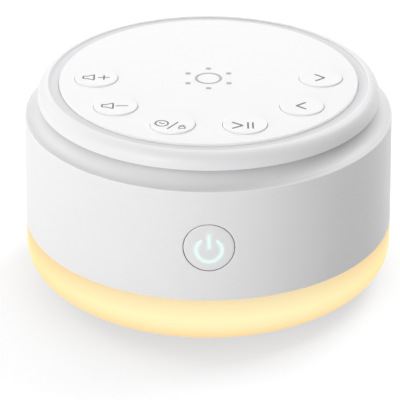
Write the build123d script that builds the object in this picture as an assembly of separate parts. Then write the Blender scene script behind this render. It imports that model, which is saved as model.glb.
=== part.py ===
from build123d import *
import os
from math import asin, cos, degrees, radians, sin, sqrt

# White noise sound machine: a low round drum that stands on four feet. Millimetres, +Z up,
# origin at the centre of the surface it stands on, front (power key) at -Y, socket at +Y.

os.makedirs("parts", exist_ok=True)

# ---- Outer form, from the feet up ----
foot_proud = 1.5
ring_height = 15.6
wall_height = 30.9
collar_rise = 8.6
panel_proud = 0.2
key_proud = 0.4

seam_r = 50.0
wall_draft = 0.73
edge_round = 0.25
shell_wall = 2.0
cove_r = 3.92

ring_bottom_z = foot_proud
seam_z = ring_bottom_z + ring_height
edge_z = seam_z + wall_height
crest_z = edge_z + collar_rise
panel_z = crest_z + panel_proud
key_z = panel_z + key_proud
edge_r = seam_r - wall_draft
neck_r = edge_r - edge_round - cove_r

# ---- Collar round the panel, from the lip inwards ----
lip_overhang = 0.65
neck_show = 0.28
lip_drop = 0.45
lip_gap = 0.15
belly_rise = 1.1
shoulder_w = 2.8
crest_round = 0.3
moat_w = 2.65
moat_depth = 0.52
panel_gap = 0.05
shelf_w = 2.75
shelf_t = 1.3
collar_skirt_t = 1.6
collar_skirt_h = 2.0
collar_skirt_gap = 0.15

lip_r = neck_r + lip_overhang
lip_z = edge_z + cove_r + neck_show
crest_r = lip_r - shoulder_w - crest_round
panel_r = crest_r - moat_w
shelf_in_r = panel_r + panel_gap - shelf_w

# ---- Key panel ----
panel_t = 1.5
panel_edge = 0.3
key_r = 5.75
key_round = 0.3
key_gap = 0.15
key_skin = 1.4
key_skirt = 1.1
key_flange_w = 0.8
key_flange_t = 0.8
key_stop_gap = 0.05
key_length = 3.2
stem_r = 1.5
key_margin = 4.25
key_circle_r = panel_r - key_r - key_margin
key_step_deg = 36.0
key_names = ["volume_up", "volume_down", "timer", "play_pause", "previous", "next"]
key_angles = [180.0 + key_step_deg * i for i in range(len(key_names))]

# ---- Push switches: identical under every key ----
switch_side = 6.0
switch_h = 2.0
switch_bore_depth = 1.6
plunger_r = 1.6
plunger_gap = 0.1
plunger_proud = 0.5
plunger_length = 1.4

# ---- Key board under the panel, and the deck of the shell ----
board_t = 1.2
key_board_gap = 0.9
deck_clear = 0.9
deck_t = 1.8
edge_screw_angles = [30.0, 150.0]
edge_screw_gap = 1.0
inner_screw_angles = [-43.0, -137.0]
inner_screw_gap = 1.6
pad_r = 3.0
boss_r = 2.5
boss_hole_depth = 3.0
slot_length = 16.0
slot_width = 6.0
ribbon_inset = 9.5
spring_wire_r = 0.3
spring_r = 3.5
spring_turns = 3

panel_under_z = panel_z - panel_t
key_board_r = shelf_in_r - key_board_gap
key_board_top = key_z - key_length - plunger_proud - switch_h
key_board_z = key_board_top - board_t
deck_top = key_board_z - deck_clear
deck_under = deck_top - deck_t
edge_screw_r = key_board_r - boss_r - edge_screw_gap
inner_screw_r = key_circle_r - key_r - key_flange_w - boss_r - inner_screw_gap
ribbon_y = key_board_r - ribbon_inset

# ---- Light ring ----
ring_wall = 2.0
bulge_h = 8.55
ring_bulge_w = 12.0
ring_lip_t = 1.2
ring_lip_w = 2.6
tongue_h = 2.0
tongue_t = 1.4
tongue_gap = 0.15
tongue_root_h = 1.0

ring_foot_r = seam_r - ring_bulge_w

# ---- Base plate, posts and feet ----
base_rim_t = 1.8
base_t = 2.2
base_gap = 0.15
base_edge = 0.4
post_r = 3.5
post_angles = [45.0, 135.0, 225.0, 315.0]
base_boss_r = 4.25
base_boss_gap = 0.5
base_boss_h = 2.3
foot_r = 4.0
foot_gap = 0.1
foot_recess = 0.8
foot_round = 0.5
screw_r = 1.5
screw_length = 12.0
screw_head_r = 2.7
screw_head_h = 1.8
screw_hole_gap = 0.2
head_gap = 0.2
foot_to_head = 0.4
grille_hole_r = 0.9
grille_pitch = 3.4

base_rim_z = ring_bottom_z + base_rim_t
base_top = ring_bottom_z + base_t
base_r = ring_foot_r - base_gap
ring_lip_r = ring_foot_r - ring_lip_w
post_circle_r = ring_lip_r - base_gap - base_boss_r - base_boss_gap
post_end_z = base_top + base_boss_h
screw_seat_z = ring_bottom_z + foot_recess + foot_to_head + screw_head_h

# ---- Small screws ----
small_screw_r = 1.0
small_head_r = 1.9
small_head_h = 1.3
small_screw_length = 4.0
panel_screw_length = 5.0
head_recess = 1.4

# ---- Loudspeaker, its mouth turned down: it fills the room between the posts ----
cloth_t = 0.3
gasket_t = 2.0
speaker_room = 0.75
coil_share = 0.38
former_t = 0.2
former_low_h = 6.2
former_length = 8.0
winding_t = 0.3
winding_low_h = 9.6
winding_length = 2.8
coil_gap = 0.25
magnet_in_gap = 1.9
magnet_inset = 2.9
magnet_t = 5.0
plate_inset = 1.0
plate_t = 2.0
yoke_t = 2.0
cap_lap = 1.95
cap_bulge = 2.5
cap_t = 0.3
cone_t = 0.4
cone_top_h = 6.4
surround_t = 0.3
surround_gap = 0.2
surround_roll_w = 3.1
surround_rim_w = 1.3
spider_t = 0.3
spider_wave = 0.5
spider_waves = 3
spider_ledge_h = 7.4
spider_ledge_w = 2.8
spider_bond_w = 1.7
basket_skin = 1.1
basket_seat_h = 10.0
basket_seat_t = 1.0
basket_seat_gap = 1.65
basket_seat_rim = 0.4
flange_t = 1.2
flange_w = 4.6
flange_step = 1.7
gasket_gap = 0.2
ear_r = 2.9
speaker_boss_r = 2.3
window_w = 12.0
window_low = 3.0
window_high = 6.6
terminal_deg = 210.0
terminal_size = (2.4, 8.0, 1.0)
ear_angles = [0.0, 90.0, 180.0, 270.0]

speaker_r = post_circle_r - base_boss_r - speaker_room
basket_mouth_r = speaker_r - flange_w
basket_wall_r = basket_mouth_r + flange_step
roll_out_r = basket_mouth_r - surround_gap
roll_in_r = roll_out_r - surround_roll_w
cone_r = roll_in_r - surround_gap
surround_out_r = roll_out_r + surround_rim_w
magnet_r = basket_mouth_r - magnet_inset
plate_r = magnet_r - plate_inset
basket_seat_r = magnet_r + basket_seat_rim
spider_ledge_r = basket_seat_r - spider_ledge_w
coil_r = coil_share * magnet_r
former_r = coil_r + former_t
cap_r = former_r + cap_lap
basket_seat_in_r = former_r + winding_t + basket_seat_gap
pole_r = coil_r - coil_gap
gap_out_r = former_r + winding_t + coil_gap
magnet_in_r = gap_out_r + magnet_in_gap
grille_rings = int(roll_out_r / grille_pitch)
gasket_in_r = surround_out_r + gasket_gap
gasket_r = speaker_r - base_gap
ear_circle_r = speaker_r + speaker_boss_r
terminal_r = (basket_wall_r + speaker_r) / 2
speaker_z = base_top + cloth_t + gasket_t
flange_top = speaker_z + flange_t
speaker_seat_z = speaker_z + basket_seat_h
speaker_back_z = speaker_seat_z + plate_t + magnet_t + yoke_t
speaker_screw_end = flange_top - small_screw_length

# ---- Main board over the loudspeaker ----
main_board_clear = 3.0
main_board_t = 1.6
main_board_rim = 3.5
main_tab_w = 18.0
main_tab_gap = 0.77
post_clear = 0.5
board_post_r = 2.75
board_post_inset = 5.0
board_post_y = 12.0

main_board_z = speaker_back_z + main_board_clear
main_board_top = main_board_z + main_board_t
main_board_r = post_circle_r + post_r + post_clear + main_board_rim
main_tab_y = edge_r - shell_wall - main_tab_gap
board_post_x = main_board_r - board_post_inset

# ---- USB-C socket in the rear wall ----
usb_w = 8.94
usb_h = 3.16
usb_l = 7.35
usb_wall = 0.3
usb_tongue_w = 6.7
usb_tongue_t = 0.7
usb_tongue_l = 4.5
usb_back_l = 1.2
usb_hole_gap = 0.33
usb_set_back = 0.4

usb_z = main_board_top + usb_h / 2

# ---- Battery under the deck ----
battery_h = 8.0
battery_edge = 1.5
battery_side_gap = 1.0
battery_end_gap = 4.25
tape_inset = 4.0
tape_t = 0.5

battery_l = 2 * (board_post_x - board_post_r - battery_end_gap)
battery_w = 2 * (post_circle_r * sin(radians(post_angles[0])) - post_r - battery_side_gap)
tape_low = deck_under - tape_t
battery_low = tape_low - battery_h

# ---- Ribbon between the two boards ----
ribbon_socket = (14.0, 3.6, 2.0)
ribbon_w = 10.0
ribbon_t = 0.3
ribbon_sway = 2.0
ribbon_bend = 3.0

# ---- Power key in the front wall ----
power_drop = 15.7
power_r = 6.5
power_gap = 0.15
power_skirt = 1.1
power_skin = 1.4
power_flange_w = 1.0
power_flange_t = 0.9
power_flange_gap = 0.1
lens_gap = 0.2
lens_t = 1.0
power_reach = 2.6
sign_drop = 0.6
sign_r = 3.3
sign_stroke = 0.8
sign_gap_deg = 80.0
sign_bar_low = 0.7
sign_bar_high = 4.1
power_board_margin = 2.6
power_board_h = 14.0
power_post_r = 2.2
power_post_gap = 0.7
power_led_gap = 1.0
power_led_size = (1.6, 0.8, 0.8)

power_z = edge_z - power_drop
power_flange_r = power_r + power_flange_w
power_post_x = power_flange_r + power_post_gap + power_post_r
power_board_w = 2 * (power_post_x + power_board_margin)
power_led_x = (switch_side + power_led_size[0]) / 2 + power_led_gap

# ---- Ring board with its lamps ----
ring_board_drop = 1.9
ring_board_t = 1.0
ring_board_gap = 0.25
ring_board_w = 6.6
ring_led_count = 24
ring_led_size = (2.8, 3.5, 1.6)
ring_led_inset = 2.2
reflector_gap = 0.2
reflector_t = 1.1
reflector_shoulder = 0.9
reflector_ledge_w = 2.0
reflector_ledge_t = 1.0
reflector_hook = 0.3
reflector_hook_h = 0.6
reflector_neck_t = 0.8

tongue_r = seam_r - shell_wall - tongue_gap
tongue_in_r = tongue_r - tongue_t
reflector_foot_r = ring_foot_r + reflector_gap
ring_board_r = tongue_in_r - ring_board_gap
ring_board_in_r = ring_board_r - ring_board_w
ring_led_r = ring_board_r - ring_led_inset
ring_board_z = seam_z - ring_board_drop
ring_board_top = ring_board_z + ring_board_t
ring_lip_top = base_rim_z + ring_lip_t

# ---- Parts on the main board: size, then place ----
chip_places = [
    ((7.0, 7.0, 0.9), -9.0, -10.0),
    ((5.0, 4.0, 1.5), -20.0, 2.0),
    ((5.0, 4.0, 1.5), 6.0, -14.0),
    ((4.0, 4.0, 0.9), 13.0, 28.0),
    ((6.0, 6.0, 3.0), 18.0, 2.0),
]
can_r = 3.15
can_gap = 1.8
can_places = [(-12.0, 12.0), (-4.0, 12.0)]

can_h = battery_low - main_board_top - can_gap

# ---- Wires and their sockets ----
wire_r = 0.6
wire_step = 2.4
wire_bend = 3.0
socket_size = (5.0, 8.0, 4.0)
low_socket_h = 3.0
battery_lead = 5.0
speaker_lead = 3.45
ring_socket_inset = 3.0
power_socket_inset = 4.0
power_wire_rise = 5.0

battery_socket_x = battery_l / 2 + battery_lead
speaker_socket_r = terminal_r + speaker_lead
ring_socket_x = main_board_r - ring_socket_inset
power_socket_y = power_socket_inset - main_board_r


# ---- Shared shapes ----
def turned(*runs):
    """Solid turned about Z from runs of edges that close an outline of radius and height."""
    return revolve(Plane.XZ * make_face(Curve() + list(runs)), Axis.Z)


def turned_corners(*corners):
    """Solid turned about Z from a closed outline of straight runs."""
    return turned(Polyline(*corners, close=True))


def disc(radius, low, high, x=0.0, y=0.0):
    """Upright cylinder between two heights."""
    return Pos(x, y, (low + high) / 2) * Cylinder(radius, high - low)


def ring(outer, inner, low, high):
    """Flat ring between two heights."""
    return disc(outer, low, high) - disc(inner, low, high)


def block(size, x, y, low):
    """Box centred on x, y that stands on a height."""
    return Pos(x, y, low + size[2] / 2) * Box(*size)


def polar(radius, angle):
    """Place on a circle round Z."""
    return radius * cos(radians(angle)), radius * sin(radians(angle))


def at_angles(radius, angles):
    """Places on one circle round Z."""
    return [polar(radius, angle) for angle in angles]


def forward(shape, y, z):
    """Turn a shape's +Z to the front, -Y, and set its foot at y and z."""
    return Pos(0, y, z) * Rot(90, 0, 0) * shape


def screw(length, radius, head_r, head_h, head_low):
    """Pan-head screw along Z: the head stands on z = 0 and the shank hangs below it."""
    shank = disc(radius, -length, 0)
    head = disc(head_r, 0, head_h)
    drive = disc(head_r / 2, head_h - head_low, head_h)
    return shank + head - drive


def wire(points, bend):
    """Round wire along straight runs joined by arcs."""
    path = FilletPolyline(*points, radius=bend)
    section = Plane(origin=path @ 0, z_dir=path % 0) * Circle(wire_r)
    return sweep(section, path=path)


def pair(make, spacing):
    """Two solids side by side, from a function of the sideways place."""
    return [make(-spacing / 2), make(spacing / 2)]


def drum_r(height):
    """Outer radius of the drafted side wall at a height."""
    return seam_r - wall_draft * (height - seam_z) / wall_height


def save(name, *solids):
    """Write one node of one or more separate solids."""
    shape = solids[0] if len(solids) == 1 else Compound(children=list(solids))
    shape.label = name
    export_step(shape, f"parts/{name}.step")


# ---- Places that several pieces share ----
key_places = at_angles(key_circle_r, key_angles)
panel_screw_places = at_angles(edge_screw_r, edge_screw_angles) + at_angles(inner_screw_r, inner_screw_angles)
post_places = at_angles(post_circle_r, post_angles)
ear_places = at_angles(ear_circle_r, ear_angles)
board_post_places = [(x, y) for x in (board_post_x, -board_post_x) for y in (board_post_y, -board_post_y)]


# ---- Key panel, key caps and their switches ----
def make_panel():
    """Round cover plate with six key holes and four screw bosses under it."""
    plate = turned_corners(
        (0, panel_under_z),
        (panel_r, panel_under_z),
        (panel_r, panel_z - panel_edge),
        (panel_r - panel_edge, panel_z),
        (0, panel_z),
    )
    for x, y in key_places:
        plate -= disc(key_r + key_gap, panel_under_z, panel_z, x, y)
    for x, y in panel_screw_places:
        plate += disc(boss_r, key_board_top, panel_under_z, x, y)
        plate -= disc(small_screw_r, key_board_top, key_board_top + boss_hole_depth, x, y)
    return plate


def make_key_cap():
    """Hollow cap with a flange that stops under the panel; its top face is z = 0."""
    flange_top = -key_proud - panel_t - key_stop_gap
    flange_low = flange_top - key_flange_t
    skirt_in_r = key_r - key_skirt
    rounded = CenterArc((key_r - key_round, -key_round), key_round, 0, 90)
    corners = Polyline(
        (key_r, -key_round),
        (key_r, flange_top),
        (key_r + key_flange_w, flange_top),
        (key_r + key_flange_w, flange_low),
        (skirt_in_r, flange_low),
        (skirt_in_r, -key_skin),
        (stem_r, -key_skin),
        (stem_r, -key_length),
        (0, -key_length),
        (0, 0),
        (key_r - key_round, 0),
    )
    return turned(rounded, corners)


def make_switch_housing():
    """Switch body that stands on its board at z = 0, bored for the plunger."""
    body = block((switch_side, switch_side, switch_h), 0, 0, 0)
    return body - disc(plunger_r + plunger_gap, switch_h - switch_bore_depth, switch_h)


def make_plunger():
    """Short pin that stands proud of its housing."""
    top = switch_h + plunger_proud
    return disc(plunger_r, top - plunger_length, top)


housings = []
for name, (x, y) in zip(key_names, key_places):
    save("key_" + name, Pos(x, y, key_z) * make_key_cap())
    save("plunger_" + name, Pos(x, y, key_board_top) * make_plunger())
    housings.append(Pos(x, y, key_board_top) * make_switch_housing())

save("control_panel", make_panel())


# ---- Key board with the touch spring, and the screws that pull the panel down ----
def make_key_board():
    board = disc(key_board_r, key_board_z, key_board_top)
    for x, y in panel_screw_places:
        board -= disc(small_screw_r + screw_hole_gap, key_board_z, key_board_top, x, y)
    return board


def make_touch_spring():
    """Spring that carries the touch of the sun sign from the panel to the key board."""
    rise = panel_under_z - key_board_top - 2 * spring_wire_r
    path = Helix(rise / spring_turns, rise, spring_r)
    section = Plane(origin=path @ 0, z_dir=path % 0) * Circle(spring_wire_r)
    return Pos(0, 0, key_board_top + spring_wire_r) * sweep(section, path=path, is_frenet=True)


save("key_board", make_key_board())
save("touch_spring", make_touch_spring())
panel_head_z = deck_under + head_recess
save("panel_screws", *[
    Pos(x, y, panel_head_z) * Rot(180, 0, 0)
    * screw(panel_screw_length, small_screw_r, small_head_r, small_head_h, small_head_h / 2)
    for x, y in panel_screw_places
])

# ---- Collar ----
neck_in_r = neck_r - shell_wall
seat_z = lip_z + lip_drop


def make_collar():
    """Ring with a shelf for the panel, a moat, a rounded shoulder and a small overhanging lip."""
    recess_r = panel_r + panel_gap
    moat_z = crest_z - moat_depth
    belly_z = lip_z + belly_rise
    shoulder_r = lip_r - shoulder_w
    skirt_r = neck_in_r - collar_skirt_gap
    inner = Polyline(
        (crest_r, crest_z - crest_round),
        (crest_r, moat_z),
        (recess_r, moat_z),
        (recess_r, panel_under_z),
        (shelf_in_r, panel_under_z),
        (shelf_in_r, panel_under_z - shelf_t),
        (skirt_r - collar_skirt_t, panel_under_z - shelf_t),
        (skirt_r - collar_skirt_t, seat_z - collar_skirt_h),
        (skirt_r, seat_z - collar_skirt_h),
        (skirt_r, seat_z),
        (neck_r + lip_gap, seat_z),
        (neck_r + lip_gap, lip_z),
        (lip_r, lip_z),
        (lip_r, belly_z),
    )
    crest = CenterArc((shoulder_r, crest_z - crest_round), crest_round, 90, 90)
    shoulder = EllipticalCenterArc(
        (shoulder_r, belly_z), shoulder_w, crest_z - belly_z, start_angle=0, arc_size=90
    )
    return turned(inner, crest, shoulder)


save("top_collar", make_collar())

# ---- Body shell ----
power_y = -drum_r(power_z)
power_wall_in_r = drum_r(power_z) - shell_wall
power_flange_front = -(sqrt(power_wall_in_r**2 - power_flange_r**2) - power_flange_gap)
power_stem_end = power_flange_front + power_reach
power_board_front = power_stem_end + plunger_proud + switch_h
usb_mouth_y = drum_r(usb_z) - usb_set_back


def make_drum(inset=0.0):
    """Solid form of the side wall, used to end pieces on its outer face or inside the wall."""
    low_r = seam_r - inset
    high_r = edge_r - inset
    return turned_corners((0, seam_z), (low_r, seam_z), (high_r, edge_z), (0, edge_z))


def stadium(width, height, low, high, z):
    """Rounded slot along +Y between two places."""
    return Pos(0, low, z) * Rot(-90, 0, 0) * extrude(SlotOverall(width, height), high - low)


def make_shell():
    """Drum wall with the cove and neck above it, a deck inside, and posts under the deck."""
    cove_centre = (neck_r + cove_r, edge_z + cove_r)
    haunch = neck_in_r + shell_wall / 2
    outer = Polyline((seam_r - shell_wall, seam_z), (seam_r, seam_z), (edge_r, edge_z - edge_round))
    edge = CenterArc((edge_r - edge_round, edge_z - edge_round), edge_round, 0, 90)
    cove = CenterArc(cove_centre, cove_r, 180, 90)
    inner = Polyline(
        (neck_r, edge_z + cove_r),
        (neck_r, seat_z),
        (neck_in_r, seat_z),
        (neck_in_r, deck_top),
        (0, deck_top),
        (0, deck_under),
        (haunch, deck_under),
        (edge_r - shell_wall, deck_under - shell_wall),
        (seam_r - shell_wall, seam_z),
    )
    shell = turned(outer, edge, cove, inner)
    for x, y in post_places:
        shell += disc(post_r, post_end_z, deck_under, x, y)
        shell -= disc(screw_r, post_end_z, screw_seat_z + screw_length, x, y)
    for x, y in board_post_places:
        shell += disc(board_post_r, main_board_top, deck_under, x, y)
        shell -= disc(small_screw_r, main_board_top, main_board_z + small_screw_length, x, y)
    for x, y in panel_screw_places:
        shell += disc(pad_r, deck_top, key_board_z, x, y)
        shell -= disc(small_head_r + head_gap, deck_under, panel_head_z, x, y)
        shell -= disc(small_screw_r + screw_hole_gap, deck_under, key_board_z, x, y)
    shell -= block((slot_length, slot_width, deck_t), 0, ribbon_y, deck_under)
    for side in (-1, 1):
        post = forward(disc(power_post_r, 0, seam_r), power_board_front, power_z)
        hole = forward(disc(small_screw_r, 0, small_screw_length - board_t), power_board_front, power_z)
        shell += Pos(side * power_post_x, 0, 0) * post & make_drum(shell_wall / 2)
        shell -= Pos(side * power_post_x, 0, 0) * hole
    shell -= forward(disc(power_r + power_gap, 0, seam_r), power_board_front, power_z)
    usb_hole_w = usb_w + 2 * usb_hole_gap
    usb_hole_h = usb_h + 2 * usb_hole_gap
    return shell - stadium(usb_hole_w, usb_hole_h, usb_mouth_y - usb_l, seam_r, usb_z)


save("body_shell", make_shell())


# ---- Power key, its clear sign and its board ----
def make_sign(length):
    """Power sign, a broken circle and a bar, drawn out to the front."""
    outer = Circle(sign_r + sign_stroke / 2) - Circle(sign_r - sign_stroke / 2)
    reach = 2 * sign_r
    half = radians(sign_gap_deg / 2)
    gap = make_face(Polyline((0, 0), (reach * sin(half), reach * cos(half)),
                             (-reach * sin(half), reach * cos(half)), close=True))
    sign = outer - gap
    for side in (-1, 1):
        sign += Pos(side * sign_r * sin(half), sign_r * cos(half)) * Circle(sign_stroke / 2)
    bar_length = sign_bar_high - sign_bar_low
    bar = SlotOverall(bar_length, sign_stroke, rotation=90)
    sign += Pos(0, (sign_bar_high + sign_bar_low) / 2) * bar
    return Pos(0, 0, power_z - sign_drop) * Rot(90, 0, 0) * extrude(sign, length)


power_skin_y = power_y + power_skin
lens_back_y = power_skin_y + lens_t
lens_r = power_r - power_skirt - lens_gap


def make_power_lens():
    """Clear light pipe behind the cap: a disc, the raised sign, and the stem to the switch."""
    plate = forward(disc(lens_r, 0, lens_t), lens_back_y, power_z)
    stem = forward(disc(stem_r, 0, power_stem_end - lens_back_y), power_stem_end, power_z)
    sign = Pos(0, power_skin_y, 0) * make_sign(2 * power_skin) & make_drum()
    return plate + stem + sign


def make_power_key():
    """Cap whose face follows the wall, with a flange behind the wall."""
    back = power_flange_front + power_flange_t
    skirt_in_r = power_r - power_skirt
    body = forward(disc(power_r, 0, seam_r), back, power_z) & make_drum()
    body += forward(disc(power_flange_r, 0, power_flange_t), back, power_z)
    body -= forward(disc(skirt_in_r, 0, back - power_skin_y), back, power_z)
    return body - Pos(0, power_skin_y, 0) * make_sign(2 * power_skin)


def make_power_board():
    """Upright board on the two posts behind the power key."""
    board = Pos(0, power_board_front + board_t / 2, power_z) * Box(power_board_w, board_t, power_board_h)
    for side in (-1, 1):
        hole = forward(disc(small_screw_r + screw_hole_gap, 0, board_t), power_board_front + board_t, power_z)
        board -= Pos(side * power_post_x, 0, 0) * hole
    return board


def make_power_led(x):
    return Pos(x, 0, 0) * forward(block(power_led_size, 0, 0, 0), power_board_front, power_z)


save("power_key", make_power_key())
save("power_key_lens", make_power_lens())
save("plunger_power", forward(make_plunger(), power_board_front, power_z))
housings.append(forward(make_switch_housing(), power_board_front, power_z))
save("switch_housings", *housings)
save("power_board", make_power_board())
save("power_leds", *pair(make_power_led, 2 * power_led_x))


# ---- Light ring, ring board and reflector ----
def make_light_ring():
    """Milky ring: straight above, rounded inwards below, with a tongue into the shell."""
    bulge_z = ring_bottom_z + bulge_h
    inner_b = bulge_h - ring_wall
    inner_a = ring_bulge_w - ring_wall
    sink_deg = degrees(asin((ring_lip_top - bulge_z) / inner_b))
    outer_bulge = EllipticalCenterArc(
        (ring_foot_r, bulge_z), ring_bulge_w, bulge_h, start_angle=270, arc_size=90
    )
    inner_bulge = EllipticalCenterArc(
        (ring_foot_r, bulge_z), inner_a, inner_b, start_angle=sink_deg, arc_size=-sink_deg
    )
    lower = Polyline(
        (ring_foot_r, ring_bottom_z),
        (ring_foot_r, base_rim_z),
        (ring_lip_r, base_rim_z),
        (ring_lip_r, ring_lip_top),
        inner_bulge @ 0,
    )
    upper = Polyline(
        (seam_r, bulge_z),
        (seam_r, seam_z),
        (tongue_r, seam_z),
        (tongue_r, seam_z + tongue_h),
        (tongue_in_r, seam_z + tongue_h),
        (tongue_in_r, seam_z - tongue_root_h),
        (seam_r - ring_wall, seam_z - tongue_root_h - ring_wall),
        inner_bulge @ 1,
    )
    return turned(outer_bulge, upper, inner_bulge, lower)


def make_reflector():
    """White cone behind the lamps, with a ledge under their board and a hook over it."""
    neck_r_out = ring_board_in_r - tongue_gap
    wall_top_r = ring_board_in_r + reflector_shoulder
    ledge_z = ring_board_z - reflector_ledge_t
    return turned_corners(
        (reflector_foot_r, ring_lip_top),
        (reflector_foot_r + reflector_t, ring_lip_top),
        (wall_top_r, ledge_z),
        (ring_board_in_r + reflector_ledge_w, ledge_z),
        (ring_board_in_r + reflector_ledge_w, ring_board_z),
        (neck_r_out, ring_board_z),
        (neck_r_out, ring_board_top),
        (ring_board_in_r + reflector_hook, ring_board_top),
        (neck_r_out, ring_board_top + reflector_hook_h),
        (neck_r_out - reflector_neck_t, ring_board_top + reflector_hook_h),
    )


def make_ring_led(angle):
    x, y = polar(ring_led_r, angle)
    return Pos(x, y, ring_board_z - ring_led_size[2] / 2) * Rot(0, 0, angle) * Box(*ring_led_size)


save("light_ring", make_light_ring())
save("ring_reflector", make_reflector())
save("ring_board", ring(ring_board_r, ring_board_in_r, ring_board_z, ring_board_top))
save("ring_leds", *[make_ring_led(360.0 * i / ring_led_count) for i in range(ring_led_count)])


# ---- Base plate, grille cloth, feet and base screws ----
def make_base():
    """Plate that clamps the ring, with the grille, screw bosses and foot recesses."""
    plate = turned_corners(
        (0, ring_bottom_z),
        (base_r - base_edge, ring_bottom_z),
        (base_r, ring_bottom_z + base_edge),
        (base_r, base_rim_z),
        (ring_lip_r - base_gap, base_rim_z),
        (ring_lip_r - base_gap, base_top),
        (0, base_top),
    )
    for x, y in post_places:
        plate += disc(base_boss_r, base_top, post_end_z, x, y)
        plate -= disc(screw_r + screw_hole_gap, ring_bottom_z, post_end_z, x, y)
        plate -= disc(screw_head_r + head_gap, ring_bottom_z, screw_seat_z, x, y)
        plate -= disc(foot_r + foot_gap, ring_bottom_z, ring_bottom_z + foot_recess, x, y)
    for x, y in ear_places:
        plate += disc(speaker_boss_r, base_top, speaker_z, x, y)
        plate -= disc(small_screw_r, speaker_screw_end, speaker_z, x, y)
    holes = [Pos(0, 0, base_top / 2) * Cylinder(grille_hole_r, base_t * 2)]
    for circle in range(1, grille_rings + 1):
        for step in range(6 * circle):
            x, y = polar(grille_pitch * circle, 60.0 * step / circle)
            holes.append(Pos(x, y, base_top / 2) * Cylinder(grille_hole_r, base_t * 2))
    return plate - holes


def make_foot(x, y):
    """Soft disc set in its recess, rounded where it stands."""
    top = ring_bottom_z + foot_recess
    rounded = CenterArc((foot_r - foot_round, foot_round), foot_round, 270, 90)
    corners = Polyline((foot_r, foot_round), (foot_r, top), (0, top), (0, 0), (foot_r - foot_round, 0))
    return Pos(x, y, 0) * turned(rounded, corners)


def make_base_screw(x, y):
    fastener = screw(screw_length, screw_r, screw_head_r, screw_head_h, screw_head_h / 2)
    return Pos(x, y, screw_seat_z) * Rot(180, 0, 0) * fastener


save("base_plate", make_base())
save("rubber_feet", *[make_foot(x, y) for x, y in post_places])
save("base_screws", *[make_base_screw(x, y) for x, y in post_places])
save("grille_cloth", disc(gasket_r, base_top, base_top + cloth_t))
save("speaker_gasket", ring(gasket_r, gasket_in_r, base_top + cloth_t, speaker_z))


# ---- Loudspeaker ----
def make_basket():
    """Pressed frame: flange with four ears, a conical wall with windows, and the magnet seat."""
    seat_low = speaker_seat_z - basket_seat_t
    basket = turned_corners(
        (basket_mouth_r, speaker_z),
        (speaker_r, speaker_z),
        (speaker_r, flange_top),
        (basket_wall_r, flange_top),
        (basket_seat_r + basket_skin, speaker_z + spider_ledge_h),
        (basket_seat_r, speaker_seat_z),
        (basket_seat_in_r, speaker_seat_z),
        (basket_seat_in_r, seat_low),
        (spider_ledge_r, seat_low),
        (spider_ledge_r, speaker_z + spider_ledge_h),
        (basket_seat_r, speaker_z + spider_ledge_h),
        (basket_mouth_r, flange_top),
    )
    for angle in ear_angles:
        x, y = polar(ear_circle_r, angle)
        neck = Rot(0, 0, angle) * block((ear_circle_r - basket_wall_r, 2 * ear_r, flange_t),
                                        (ear_circle_r + basket_wall_r) / 2, 0, speaker_z)
        basket += disc(ear_r, speaker_z, flange_top, x, y) + neck
        basket -= disc(small_screw_r + screw_hole_gap, speaker_z, flange_top, x, y)
    window_h = window_high - window_low
    for angle in ear_angles:
        window = block((speaker_r, window_w, window_h), speaker_r / 2, 0, speaker_z + window_low)
        basket -= Rot(0, 0, angle) * window
    return basket


def make_cone():
    """Paper cone from the surround up to the coil former."""
    low = speaker_z
    return turned_corners(
        (cone_r, low),
        (cone_r, low + cone_t),
        (former_r, low + cone_top_h + cone_t),
        (former_r, low + cone_top_h),
        (cone_r - cone_t, low),
    )


def make_dust_cap():
    """Shallow dome that closes the cone's middle, with its rim on the cone's lower face."""
    slope = cone_top_h / (cone_r - cone_t - former_r)
    rim_z = speaker_z + (cone_r - cone_t - cap_r) * slope
    dome_r = (cap_r**2 + cap_bulge**2) / (2 * cap_bulge)
    centre = Pos(0, 0, rim_z - cap_bulge + dome_r)
    skin = centre * Sphere(dome_r) - centre * Sphere(dome_r - cap_t)
    return skin & disc(cap_r, rim_z - cap_bulge, rim_z)


def make_surround():
    """Half roll of soft rubber between the basket's mouth and the cone."""
    low = speaker_z - surround_t
    roll_r = (roll_out_r - roll_in_r) / 2
    centre = (roll_in_r + roll_r, speaker_z)
    bond_r = cone_r - 2 * cone_t
    outside = CenterArc(centre, roll_r, 0, 180)
    inside = CenterArc(centre, roll_r - surround_t, 0, 180)
    rim = Polyline(
        (roll_out_r, speaker_z),
        (surround_out_r, speaker_z),
        (surround_out_r, low),
        (roll_out_r - surround_t, low),
        (roll_out_r - surround_t, speaker_z),
    )
    bond = Polyline(
        (roll_in_r, speaker_z),
        (bond_r, speaker_z),
        (bond_r, low),
        (roll_in_r + surround_t, low),
        (roll_in_r + surround_t, speaker_z),
    )
    return turned(outside, rim, inside, bond)


def make_spider():
    """Waved cloth ring that centres the coil under the basket's ledge."""
    top = speaker_z + spider_ledge_h
    wave_w = (spider_ledge_r - former_r) / (2 * spider_waves)
    upper = [(former_r, top)]
    for i in range(1, 2 * spider_waves):
        upper.append((former_r + i * wave_w, top - spider_wave * (i % 2)))
    upper.append((spider_ledge_r, top))
    upper.append((spider_ledge_r + spider_bond_w, top))
    lower = [(r, z - spider_t) for r, z in reversed(upper)]
    return turned_corners(*upper, *lower)


def make_yoke():
    """Back plate with the pole that stands in the coil."""
    plate_low = speaker_back_z - yoke_t
    return disc(plate_r, plate_low, speaker_back_z) + disc(pole_r, speaker_seat_z, plate_low)


def make_voice_coil():
    """Thin former with its winding in the magnet gap."""
    low = speaker_z + former_low_h
    winding_low = speaker_z + winding_low_h
    former = ring(former_r, coil_r, low, low + former_length)
    return former + ring(former_r + winding_t, coil_r, winding_low, winding_low + winding_length)


def make_terminals():
    """Strip on the flange where the two leads are soldered."""
    strip = block(terminal_size, terminal_r, 0, flange_top)
    return Rot(0, 0, terminal_deg) * strip


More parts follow.
